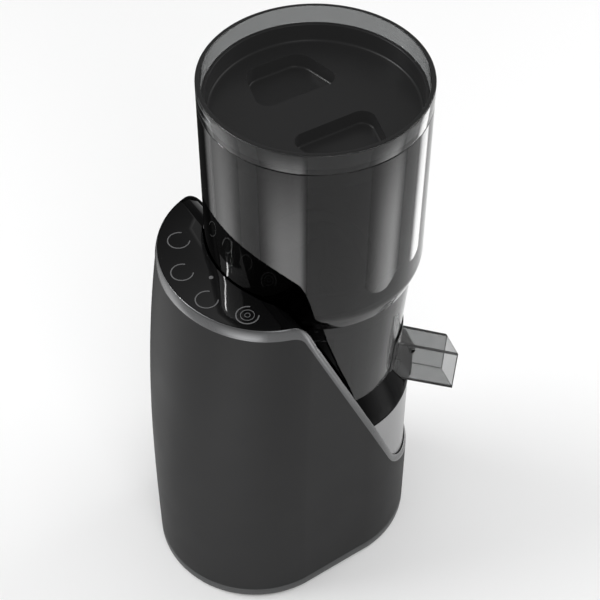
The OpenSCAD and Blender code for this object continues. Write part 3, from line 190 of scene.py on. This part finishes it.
# ---- Outer shell ----
# One thin moulding in matt dark grey: oval in plan, leaning in towards the panel, with the slanted
# notch cut from its front. It is drawn ring by ring, up the outside and down the inside.
wall = 0.0022
shell_foot = 0.0105
panel_z = 0.323
edge_top = 0.3135
front_r = 0.0795
rear_half_w = 0.0825
rear_l = 0.1385
rear_start = 0.0565
lean_back = 0.0207
lean_side = 0.0019
notch_y = -0.0589
notch_low = 0.0745
notch_angle = math.radians(67.1)
shoulder_r = 0.012
slope = math.tan(notch_angle)
half_slope = math.tan(notch_angle / 2)
shoulder_start = notch_y - shoulder_r * half_slope
shoulder_end = shoulder_start + shoulder_r * math.sin(notch_angle)
bend_r = (front_r - notch_y - (edge_top - notch_low) / slope) / half_slope
bend_start = front_r - bend_r * math.sin(notch_angle)

oval = []
for k in range(41):
    a = math.radians(90 - 90 * k / 40)
    oval.append((front_r * math.cos(a), front_r * math.sin(a)))
for k in range(1, 28):
    oval.append((front_r + (rear_half_w - front_r) * k / 28, -rear_start * k / 28))
for k in range(57):
    a = math.radians(90 * (k / 56) ** 1.25)
    oval.append((rear_half_w * math.cos(a), -rear_start - (rear_l - rear_start) * math.sin(a)))
oval += [(-x, y) for x, y in oval[-2:0:-1]]
count = len(oval)
inwards = []
for i in range(count):
    a, b = oval[i - 1], oval[(i + 1) % count]
    t = Vector((b[0] - a[0], b[1] - a[1])).normalized()
    inwards.append(Vector((t.y, -t.x, 0.0)))


def edge_height(y):
    """Height of the shell's edge over the distance y in front of the drive axis."""
    if y <= shoulder_start:
        return edge_top
    if y <= shoulder_end:
        return edge_top - shoulder_r + math.sqrt(shoulder_r ** 2 - (y - shoulder_start) ** 2)
    if y <= bend_start:
        return edge_top - (y - notch_y) * slope
    return notch_low + bend_r - math.sqrt(max(0.0, bend_r ** 2 - (front_r - min(y, front_r)) ** 2))


def leaned(p, z):
    """A point of the oval at height z, where the wall leans in."""
    share = (max(0.0, z) / panel_z) ** 3
    back = 1 - lean_back / rear_l * share if p[1] < 0 else 1.0
    return Vector((p[0] * (1 - lean_side / rear_half_w * share), p[1] * back, z))


edge = []
for p in oval:
    z = edge_height(p[1])
    for k in range(8):
        z = edge_height(leaned(p, z).y)
    edge.append(leaned(p, z))


def swept(name, rings):
    """Draws the first ring, extrudes it from ring to ring and closes the last one to the first."""
    bpy.ops.object.select_all(action="DESELECT")
    bpy.ops.mesh.primitive_circle_add(vertices=len(rings[0]), radius=0.1, fill_type="NOTHING")
    piece = bpy.context.active_object
    piece.name = name
    bpy.ops.object.mode_set(mode="EDIT")
    mesh = bmesh.from_edit_mesh(piece.data)
    mesh.verts.ensure_lookup_table()
    last = [Vector((p[0], p[1] + axis_y, p[2])) for p in rings[0]]
    for vert, place in zip(mesh.verts, last):
        vert.co = place
    for ring in rings[1:] + rings[:1]:
        bpy.ops.mesh.extrude_edges_move()
        mesh = bmesh.from_edit_mesh(piece.data)
        where = {tuple(round(c, 7) for c in place): i for i, place in enumerate(last)}
        new = [Vector((p[0], p[1] + axis_y, p[2])) for p in ring]
        for vert in mesh.verts:
            if vert.select:
                vert.co = new[where[tuple(round(c, 7) for c in vert.co)]]
        last = [Vector([float(c) for c in place]) for place in new]
    bmesh.update_edit_mesh(piece.data)
    bpy.ops.mesh.select_all(action="SELECT")
    bpy.ops.mesh.remove_doubles(threshold=0.000001)
    bpy.ops.mesh.normals_make_consistent(inside=False)
    bpy.ops.object.mode_set(mode="OBJECT")
    bpy.ops.object.shade_smooth_by_angle(angle=math.radians(35))
    return piece


def finish(name, colour, rough, grain, depth, metal=0.0, clear=0.0, gleam=0.5, ior=1.49,
           mottle=0.05, rub=0.15):
    """A surface whose tone, roughness and fine relief vary from place to place."""
    mat = bpy.data.materials.new(name)
    mat.use_nodes = True
    face = mat.node_tree.nodes["Principled BSDF"]
    wire = Wire(mat.node_tree)
    place = wire.node("ShaderNodeTexCoord", {}, {}, "Object")
    cloud = wire.node("ShaderNodeTexNoise", {}, {"Vector": place, "Scale": 24.0, "Detail": 4.0})
    dark = tuple(c * (1.0 - mottle) for c in colour) + (1.0,)
    light = tuple(min(1.0, c * (1.0 + mottle)) for c in colour) + (1.0,)
    tones = {"Factor": cloud, "A": dark, "B": light}
    tone = wire.node("ShaderNodeMix", {"data_type": "RGBA"}, tones, "Result")
    wire.tree.links.new(tone.socket, face.inputs["Base Color"])
    gloss = cloud * (2.0 * rub * rough) + rough * (1.0 - rub)
    wire.tree.links.new(gloss.socket, face.inputs["Roughness"])
    if depth > 0.0:
        dots = wire.node("ShaderNodeTexNoise", {}, {"Vector": place, "Scale": grain, "Detail": 2.0})
        lift = {"Strength": 1.0, "Distance": depth, "Height": dots}
        relief = wire.node("ShaderNodeBump", {}, lift)
        wire.tree.links.new(relief.socket, face.inputs["Normal"])
    face.inputs["Metallic"].default_value = metal
    face.inputs["Specular IOR Level"].default_value = gleam
    face.inputs["IOR"].default_value = ior
    face.inputs["Transmission Weight"].default_value = clear
    return mat


rings = []
outside = [(0.0, k / 30) for k in range(31)]
inside = [(wall, k / 12) for k in range(12, -1, -1)]
for inset, rise in outside + inside:
    ring = []
    for i, p in enumerate(oval):
        z = shell_foot + (edge[i].z - shell_foot) * rise
        ring.append(leaned(p, z) + inwards[i] * inset)
    rings.append(ring)
shell_mat = finish("shell_matte", (0.0195, 0.0195, 0.0198), 0.55, 2600.0, 0.00003, gleam=0.12)
shell = swept("shell_skin", rings)
shell.data.materials.append(shell_mat)
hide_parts("outer_shell")
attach(shell, "base")

# ---- Bezel ----
# A satin grey strip along the shell's edge, higher round the panel than down the notch, with its
# crest rounded over. Its section is carried along the edge.
top_band, slope_band = 0.0095, 0.0054
slope_inset, low_inset = 0.0034, 0.0020
section_shares = [
    (0.0, 0.0), (0.0, 0.1), (0.0, 0.2), (0.03, 0.33), (0.09, 0.45), (0.18, 0.57), (0.3, 0.69),
    (0.45, 0.81), (0.62, 0.915), (0.8, 0.985), (0.93, 1.0), (1.0, 0.96), (1.0, 0.0)]


def eased(x, a, b):
    """Goes smoothly from 0 at a to 1 at b."""
    t = min(1.0, max(0.0, (x - a) / (b - a)))
    return t * t * (3 - 2 * t)


rings = [[] for _ in section_shares]
for i in range(count):
    t = (edge[(i + 1) % count] - edge[i - 1]).normalized()
    up = inwards[i].cross(t).normalized()
    y = edge[i].y
    past = eased(y, shoulder_start, shoulder_end)
    band = top_band + (slope_band - top_band) * past
    inset = wall + (slope_inset - wall) * past
    if y > shoulder_end:
        inset = slope_inset - (slope_inset - low_inset) * eased(y, bend_start - bend_r, 0.0)
    for k, (s, h) in enumerate(section_shares):
        rings[k].append(edge[i] + inwards[i] * s * inset + up * h * band)
trim_mat = finish("trim_grey", (0.1, 0.101, 0.103), 0.27, 2600.0, 0.00001, metal=0.75)
bezel = swept("bezel_strip", rings)
bezel.data.materials.append(trim_mat)
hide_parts("shell_bezel")
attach(bezel, "base")

# ---- Base ring ----
# A grey band below the shell, flush with its wall, with both outer edges rounded.
base_mat = finish("base_grey", (0.06, 0.061, 0.062), 0.45, 2600.0, 0.00002, gleam=0.3)
rings = []
for inset, z in ((0.0055, 0.0015), (0.0012, 0.0015), (0.0004, 0.0018), (0.0, 0.0027),
                 (0.0, 0.0096), (0.0003, 0.0102), (0.0009, shell_foot), (0.0052, shell_foot)):
    rings.append([Vector((p[0], p[1], z)) + inwards[i] * inset for i, p in enumerate(oval)])
base_band = swept("base_band", rings)
base_band.data.materials.append(base_mat)
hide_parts("base_ring")
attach(base_band, "base")

# ---- Bottom cover, feet and screws ----
# A slotted cover held by four screws, on four soft rubber feet. They keep their CAD shapes.


def dress(mat, *nodes):
    """Gives CAD nodes their finish."""
    for node in nodes:
        bpy.data.objects[node].data.materials.clear()
        bpy.data.objects[node].data.materials.append(mat)


rubber_mat = finish("foot_rubber", (0.015, 0.015, 0.015), 0.75, 1500.0, 0.00003, gleam=0.3)
steel_mat = finish("machined_steel", (0.55, 0.56, 0.58), 0.3, 700.0, 0.00001, metal=1.0)
dress(shell_mat, "bottom_cover")
dress(rubber_mat, "rubber_feet")
dress(steel_mat, "cover_screws")

# ---- Control panel ----
# A crescent plate of polished black acrylic, flush inside the bezel and close round the hopper. Its
# outline is drawn flat, extruded, and its edges are eased by a fine bevel.


def eased_corners(outline, radii, steps=6):
    """Rounds the corners of a closed outline by the given lengths."""
    dots = []
    for i, r in enumerate(radii):
        p, a = Vector(outline[i]), Vector(outline[i - 1])
        b = Vector(outline[(i + 1) % len(outline)])
        if r <= 0.0:
            dots.append(tuple(p))
            continue
        s = p + (a - p).normalized() * min(r, (a - p).length * 0.45)
        e = p + (b - p).normalized() * min(r, (b - p).length * 0.45)
        for k in range(steps + 1):
            t = k / steps
            dots.append(tuple(s * (1 - t) ** 2 + p * 2 * t * (1 - t) + e * t * t))
    return dots


def plate(name, outline, low, high):
    """Fills a flat outline and extrudes it from one height to the other."""
    bpy.ops.object.select_all(action="DESELECT")
    bpy.ops.mesh.primitive_circle_add(vertices=len(outline), radius=0.1, fill_type="NGON")
    piece = bpy.context.active_object
    piece.name = name
    bpy.ops.object.mode_set(mode="EDIT")
    mesh = bmesh.from_edit_mesh(piece.data)
    mesh.verts.ensure_lookup_table()
    for vert, p in zip(mesh.verts, outline):
        vert.co = (p[0], p[1], low)
    bmesh.update_edit_mesh(piece.data)
    bpy.ops.mesh.extrude_region_move(TRANSFORM_OT_translate={"value": (0.0, 0.0, high - low)})
    bpy.ops.mesh.select_all(action="SELECT")
    bpy.ops.mesh.normals_make_consistent(inside=False)
    bpy.ops.object.mode_set(mode="OBJECT")
    return piece


def apply_modifier(piece, kind, settings):
    """Adds a modifier with its settings and applies it."""
    made = piece.modifiers.new("step", kind)
    for key, value in settings.items():
        setattr(made, key, value)
    bpy.ops.object.select_all(action="DESELECT")
    piece.select_set(True)
    bpy.context.view_layer.objects.active = piece
    bpy.ops.object.modifier_apply(modifier="step")


panel_t = 0.004
panel_inset = 0.0024
panel_bore_r = 0.081
panel_end = shoulder_start - 0.003
rim = []
for p in oval:
    q = leaned(p, edge_top)
    rim.append((q.x * (1 - panel_inset / rear_half_w),
                q.y * (1 - panel_inset / (rear_l - lean_back))))
behind = [p for p in rim if p[1] < panel_end - panel_t]
outer = sorted(behind, key=lambda p: math.atan2(p[0], -p[1]))
corner_x = max(p[0] for p in rim if p[1] < panel_end)
inner_x = math.sqrt(panel_bore_r ** 2 - panel_end ** 2)
turn = math.asin(inner_x / panel_bore_r)
inner = []
for k in range(1, 96):
    a = turn * (1 - 2 * k / 96)
    inner.append((panel_bore_r * math.sin(a), -panel_bore_r * math.cos(a)))
end_corners = [(-inner_x, panel_end), (-corner_x, panel_end), outer[0]]
left = eased_corners(end_corners, [0.0015, 0.005, 0.0])[:14]
right = [(-x, y) for x, y in reversed(left)]
outline = [(p[0], p[1] + axis_y) for p in left + outer + right + inner]
panel = plate("panel_plate", outline, panel_z - panel_t, panel_z)
apply_modifier(panel, "BEVEL", {"width": 0.0005, "segments": 3, "angle_limit": math.radians(40)})
bpy.ops.object.shade_smooth_by_angle(angle=math.radians(35))
panel_mat = finish("panel_acrylic", (0.004, 0.004, 0.0042), 0.04, 900.0, 0.0, gleam=0.28)
panel.data.materials.append(panel_mat)
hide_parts("control_panel")
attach(panel, "base")

# ---- Touch marks, lamp and touch board ----
# Four open rings and a small lamp are printed in grey on the panel. The capacitive board with its
# rubber pads lies under it.
print_mat = finish("printed_grey", (0.13, 0.13, 0.133), 0.4, 1500.0, 0.0)
pad_mat = finish("grey_silicone", (0.14, 0.14, 0.145), 0.55, 900.0, 0.00001)
board_mat = finish("board_lacquer", (0.015, 0.1, 0.04), 0.4, 500.0, 0.00002)
dress(print_mat, "touch_rings", "status_lamp")
dress(pad_mat, "touch_pads")
dress(board_mat, "touch_board", "power_board")

# ---- Cradle and seat ----
# The black liner of the notch with its concave wall behind the bowl, and the polished cone that
# carries the bowl. Both are the CAD moulding with its sharp edges eased.


def softened(node, name, width, mat, body, painted_edge_shade=None):
    """Copies a CAD node, merges its loose triangles and eases its edges by a fine bevel, which can
    take a painted edge shade.
    """
    source = bpy.data.objects[node]
    piece = bpy.data.objects.new(name, source.data.copy())
    bpy.context.collection.objects.link(piece)
    bpy.ops.object.select_all(action="DESELECT")
    piece.select_set(True)
    bpy.context.view_layer.objects.active = piece
    bpy.ops.mesh.customdata_custom_splitnormals_clear()
    bpy.ops.object.mode_set(mode="EDIT")
    bpy.ops.mesh.select_all(action="SELECT")
    bpy.ops.mesh.remove_doubles(threshold=0.000002)
    bpy.ops.mesh.dissolve_limited(angle_limit=math.radians(0.3))
    bpy.ops.object.mode_set(mode="OBJECT")
    piece.data.materials.clear()
    piece.data.materials.append(mat)
    settings = {"width": width, "segments": 2, "angle_limit": math.radians(50)}
    if painted_edge_shade:
        piece.data.materials.append(painted_edge_shade)
        settings["material"] = 1
        settings["use_clamp_overlap"] = False
    if width > 0.0:
        apply_modifier(piece, "BEVEL", settings)
    bpy.ops.object.shade_smooth_by_angle(angle=math.radians(32))
    apply_modifier(piece, "WEIGHTED_NORMAL", {"keep_sharp": True})
    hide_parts(node)
    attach(piece, body)
    return piece


gloss_mat = finish("polished_black", (0.003, 0.003, 0.0032), 0.1, 900.0, 0.0, gleam=0.03)
softened("bowl_cradle", "cradle_liner", 0.0005, gloss_mat, "base")
softened("bowl_seat", "seat_cone", 0.0006, gloss_mat, "base")

# ---- Silver skirt ----
# A half round of lacquered sheet between the seat's lip and the shell's front edge.
silver_mat = finish("silver_lacquer", (0.3, 0.3, 0.303), 0.3, 2400.0, 0.00001, metal=0.85)
softened("front_skirt", "skirt_sheet", 0.0002, silver_mat, "base")

# ---- Motor, reduction and cord gland ----
# A direct-current motor stands on the gearbox beside the drive shaft. Two gear stages turn the
# shaft, which rises through the tower to its hexagonal top. The gland sits in the wall away from the
# chute.
magnet_mat = finish("magnet_black", (0.03, 0.03, 0.035), 0.5, 900.0, 0.00002)
bronze_mat = finish("sintered_bronze", (0.5, 0.33, 0.14), 0.35, 1200.0, 0.00002, metal=1.0)
dress(steel_mat, "gearbox_housing", "gearbox_cover", "motor_can", "stage_axle", "motor_rotor",
      "drive_shaft")
dress(magnet_mat, "motor_magnets", "cooling_fan")
dress(bronze_mat, "motor_bearings", "shaft_bearings", "motor_pinion", "stage_gear", "output_gear")
dress(pad_mat, "shaft_seal")
dress(gloss_mat, "cord_gland")

# ---- Juicing bowl ----
# A tapered smoked cup with a ledge for the strainer, a groove for the hopper's lugs and the pulp
# duct under its floor.
smoke = {"clear": 1.0, "ior": 1.36, "mottle": 0.02, "rub": 0.5}
smoke_mat = finish("smoke_thick", (0.06, 0.062, 0.062), 0.02, 60.0, 0.0, **smoke)
softened("juicing_bowl", "bowl_cup", 0.0004, smoke_mat, "bowl")
dress(pad_mat, "bowl_seal")
dress(steel_mat, "idler_axle")

# ---- Pulp chute, its gate and the juice spout ----
# A clear smoked tube of rectangular section on the bowl's wall, with a black gate on a pin at its
# root, and a round spout on the far side of the front.
clear_mat = finish("smoke_clear", (0.46, 0.465, 0.465), 0.02, 60.0, 0.0, **smoke)
# Painted shade: near-black for the darkening that clear plastic shows along its edges and mouth, put
# on the bevels and the mouth faces.
painted_edge_shade_mat = finish("smoke_painted_edge_shade", (0.02, 0.02, 0.02), 0.1, 60.0, 0.0, gleam=0.3)
chute = softened("pulp_chute", "chute_tube", 0.0006, clear_mat, "bowl", painted_edge_shade_mat)
chute.data.materials.append(smoke_mat)
out_x, out_y = 0.1805, 0.9836
mouth_l = 0.02
flange_r = 0.0775
tip = max(out_x * v.co.x + out_y * v.co.y for v in chute.data.vertices)
# The mouth faces take the painted edge shade; the side faces at the root take the thick smoke.
for face in chute.data.polygons:
    nx, ny, nz = face.normal
    ahead = nx * out_x + ny * out_y
    if ahead > 0.7 and out_x * face.center.x + out_y * face.center.y > tip - mouth_l:
        face.material_index = 1
    elif abs(nx) * out_y + out_x * abs(ny) < 0.9 and abs(nz) < 0.5:
        if math.hypot(face.center.x, face.center.y - axis_y) < flange_r:
            face.material_index = 2
softened("juice_spout", "spout_tube", 0.0006, clear_mat, "bowl", painted_edge_shade_mat)
softened("pulp_gate", "gate_flap", 0.0004, gloss_mat, "gate")
dress(gloss_mat, "gate_pin")

# ---- Pressing set ----
# The slotted strainer, the auger with its steel hub and the feed cutter, and the geared wiper cage.
resin_mat = finish("filled_resin", (0.012, 0.012, 0.013), 0.35, 1500.0, 0.00002)
ivory_mat = finish("grey_resin", (0.03, 0.03, 0.031), 0.4, 1200.0, 0.00001)
dress(resin_mat, "strainer", "auger_screw", "feed_cutter", "feed_funnel")
dress(steel_mat, "auger_hub")
dress(ivory_mat, "wiper_frame", "idler_gear")
dress(pad_mat, "wiper_blades")

# ---- Hopper ----
# A drum of thick smoked plastic on a conical neck, with a spigot that turns into the bowl. Its wall
# is drawn as one closed profile and spun about the drive axis.


def turned(name, profile, steps=144):
    """Spins a closed profile of radii and heights about the drive axis."""
    bpy.ops.object.select_all(action="DESELECT")
    bpy.ops.mesh.primitive_circle_add(vertices=len(profile), radius=0.1, fill_type="NOTHING")
    piece = bpy.context.active_object
    piece.name = name
    bpy.ops.object.mode_set(mode="EDIT")
    mesh = bmesh.from_edit_mesh(piece.data)
    mesh.verts.ensure_lookup_table()
    for vert, (r, z) in zip(mesh.verts, profile):
        vert.co = (r, axis_y, z)
    bmesh.update_edit_mesh(piece.data)
    bpy.ops.mesh.select_all(action="SELECT")
    bpy.ops.mesh.spin(steps=steps, angle=2 * math.pi, center=(0.0, axis_y, 0.0),
                      axis=(0.0, 0.0, 1.0))
    bpy.ops.mesh.select_all(action="SELECT")
    bpy.ops.mesh.remove_doubles(threshold=0.000005)
    bpy.ops.mesh.normals_make_consistent(inside=False)
    bpy.ops.object.mode_set(mode="OBJECT")
    bpy.ops.object.shade_smooth_by_angle(angle=math.radians(35))
    return piece


bowl_z, bowl_h = 0.1932, 0.1014
bowl_r, bowl_flare, bowl_wall = 0.0658, 0.0078, 0.0028
neck_z, drum_z, seam_z = 0.2946, 0.309, 0.447
drum_r, drum_bore, neck_r = 0.0800, 0.0765, 0.0753
seam_gap, spigot_play = 0.0001, 0.0003
spigot_t, spigot_h = 0.003, 0.0094
spigot_low = neck_z - spigot_h
spigot_r = bowl_r + bowl_flare * (spigot_low - bowl_z) / bowl_h - bowl_wall - spigot_play
drum_profile = eased_corners([
    (drum_r, seam_z - seam_gap), (drum_bore, seam_z - seam_gap), (drum_bore, drum_z),
    (spigot_r - spigot_t, neck_z + spigot_t), (spigot_r - spigot_t, spigot_low),
    (spigot_r, spigot_low), (spigot_r, neck_z), (neck_r, neck_z), (drum_r, drum_z)],
    [0.0006, 0.0005, 0.004, 0.002, 0.0005, 0.0005, 0.0, 0.0010, 0.0035])
drum = turned("drum_wall", drum_profile)
drum.data.materials.append(smoke_mat)
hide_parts("hopper_drum")
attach(drum, "hopper")
dress(pad_mat, "hopper_seal")

# ---- Lid ----
# A smoked collar over the seam, a deep tray inside the drum, and two finger wells that leave a
# grip bar between them. The tray is spun, and the wells are joined and cut. The tray and the
# collar's crest are painted near-black for shade, with a faint painted glow.
lid_z, ledge_z, tray_z, tray_low = 0.4630, 0.4495, 0.4350, 0.4325
tray_r, plug_r = 0.0737, 0.0762
lid = turned("lid_cover", eased_corners([
    (drum_r, lid_z), (drum_bore, lid_z), (drum_bore, ledge_z), (tray_r, ledge_z), (tray_r, tray_z),
    (0.0, tray_z), (0.0, tray_low), (plug_r, tray_low), (plug_r, seam_z), (drum_r, seam_z)],
    [0.0011, 0.0009, 0.0006, 0.0008, 0.0025, 0.0, 0.0, 0.001, 0.0, 0.0008]))


def well_outline(shrink, side):
    """The rounded outline of a finger well, made smaller all round by shrink."""
    dots = []
    for y in (-1, 1):
        for cx, cy, r in ((0.0265, 0.021, 0.012), (0.044, 0.01155, 0.017)):
            for k in range(64):
                a = 2 * math.pi * k / 64
                dots.append(Vector((cx + (r - shrink) * math.cos(a),
                                    y * cy + (r - shrink) * math.sin(a))))
    hull = [dots[k] for k in geometry.convex_hull_2d(dots)]
    return [(side * p.x, side * p.y + axis_y) for p in hull]


for side in (1, -1):
    for kind, shrink, low, high in (("UNION", 0.0, 0.4215, 0.4340),
                                    ("DIFFERENCE", 0.0025, 0.4240, 0.4400)):
        former = plate("well_former", well_outline(shrink, side), low, high)
        bpy.ops.object.mode_set(mode="EDIT")
        bpy.ops.mesh.select_all(action="DESELECT")
        bpy.ops.mesh.select_mode(type="EDGE")
        mesh = bmesh.from_edit_mesh(former.data)
        for line in mesh.edges:
            line.select = all(abs(v.co.z - low) < 0.000001 for v in line.verts)
        bmesh.update_edit_mesh(former.data)
        bpy.ops.mesh.bevel(offset=0.002, segments=4, affect="EDGES")
        bpy.ops.mesh.select_mode(type="VERT")
        bpy.ops.object.mode_set(mode="OBJECT")
        apply_modifier(lid, "BOOLEAN", {"operation": kind, "object": former, "solver": "EXACT"})
        bpy.data.objects.remove(former)
bpy.ops.object.shade_smooth_by_angle(angle=math.radians(35))
# Painted shade and glow: an opaque near-black for the shade seen through the smoked tray, with a
# faint painted glow that lifts it evenly.
painted_shade_glow_mat = finish("smoke_painted_shade_glow", (0.005, 0.005, 0.0052), 0.3, 900.0, 0.0, gleam=0.12)
painted_glow_face = painted_shade_glow_mat.node_tree.nodes["Principled BSDF"]
painted_glow_face.inputs["Emission Color"].default_value = white
painted_glow_face.inputs["Emission Strength"].default_value = 0.011
collar_mat = finish("smoke_collar", (0.22, 0.225, 0.225), 0.02, 60.0, 0.0, **smoke)
lid.data.materials.append(collar_mat)
lid.data.materials.append(painted_shade_glow_mat)
# The tray and the collar's crest take the painted shade and glow; the rest of the lid is smoked.
for face in lid.data.polygons:
    reach = math.hypot(face.center.x, face.center.y - axis_y)
    in_tray = face.center.z < ledge_z + 0.0001 and reach < drum_bore - 0.0001
    on_crest = face.center.z > lid_z - 0.00015
    face.material_index = 1 if in_tray or on_crest else 0
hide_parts("lid")
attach(lid, "lid")
dress(pad_mat, "lid_seal")
